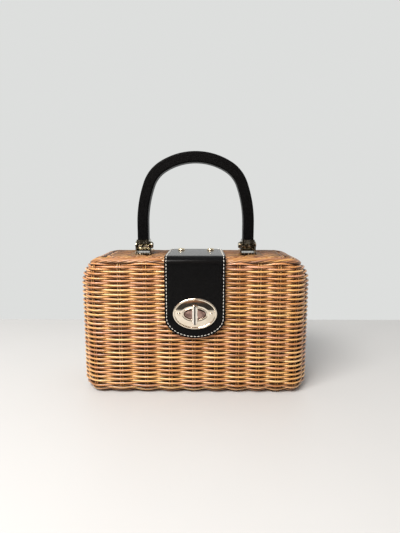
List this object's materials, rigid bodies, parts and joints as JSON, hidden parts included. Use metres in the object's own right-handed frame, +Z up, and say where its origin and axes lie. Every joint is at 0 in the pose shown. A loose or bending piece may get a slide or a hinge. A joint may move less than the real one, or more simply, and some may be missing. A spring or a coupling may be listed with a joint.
{
  "type": "basket box bag",
  "caption": "Rectangular woven box bag with a hinged lid, a fold-down arched handle and a leather flap closed by a turn lock.",
  "frame": {"origin": "on the ground under the middle of the basket", "axes": "+Z up, +X along the front to the right, the flap and lock face -Y"},
  "size_m": [0.26, 0.112, 0.273],
  "materials": {
    "wicker": "round honey-coloured reed woven over paired stakes, satin",
    "cane": "flat split cane, satin",
    "black_leather": "fine-grained black leather, low sheen",
    "core_wood": "bent wood strip, hidden under the leather",
    "pale_brass": "polished pale gold plating",
    "hinge_brass": "satin brass",
    "spring_steel": "bare spring steel"
  },
  "bodies": {
    "basket": {"basket_body": "wicker", "rim_hoop": "cane", "lock_base": "pale_brass", "lock_base_rivets": "pale_brass", "lock_inner_plate": "pale_brass", "hinge_leaf_basket_left": "hinge_brass", "hinge_leaf_basket_right": "hinge_brass", "hinge_pin_left": "hinge_brass", "hinge_pin_right": "hinge_brass", "hinge_rivets_basket": "hinge_brass"},
    "lid": {"basket_lid": "wicker", "strap": "black_leather", "strap_rivets": "pale_brass", "strap_washers": "pale_brass", "bracket_left": "pale_brass", "bracket_right": "pale_brass", "pivot_pin_left": "pale_brass", "pivot_pin_right": "pale_brass", "bracket_rivets_left": "pale_brass", "bracket_rivets_right": "pale_brass", "bracket_backing_left": "pale_brass", "bracket_backing_right": "pale_brass", "hinge_leaf_lid_left": "hinge_brass", "hinge_leaf_lid_right": "hinge_brass", "hinge_rivets_lid": "hinge_brass"},
    "flap": {"flap": "black_leather", "lock_plate": "pale_brass", "lock_plate_backing": "pale_brass", "lock_plate_rivets": "pale_brass"},
    "handle": {"handle_core": "core_wood", "handle_cover": "black_leather", "ferrule_left": "pale_brass", "ferrule_right": "pale_brass", "ferrule_pin_left": "pale_brass", "ferrule_pin_right": "pale_brass"},
    "knob": {"lock_knob": "pale_brass", "knob_washer": "spring_steel", "knob_clip": "spring_steel"}
  },
  "joints": [
    {"name": "lid_hinge", "type": "hinge", "parent": "basket", "child": "lid", "pos_m": [0, 0.0339, 0.155], "axis": [-1, 0, 0], "range_deg": [0, 100]},
    {"name": "flap_lift", "type": "hinge", "parent": "lid", "child": "flap", "pos_m": [0, -0.05154, 0.15494], "axis": [-1, 0, 0], "range_deg": [0, 165]},
    {"name": "handle_fold", "type": "hinge", "parent": "lid", "child": "handle", "pos_m": [0, 0, 0.1647], "axis": [1, 0, 0], "range_deg": [-60, 70]},
    {"name": "knob_turn", "type": "hinge", "parent": "basket", "child": "knob", "pos_m": [0, -0.05, 0.095], "axis": [0, 1, 0], "range_deg": [0, 90]}
  ]
}
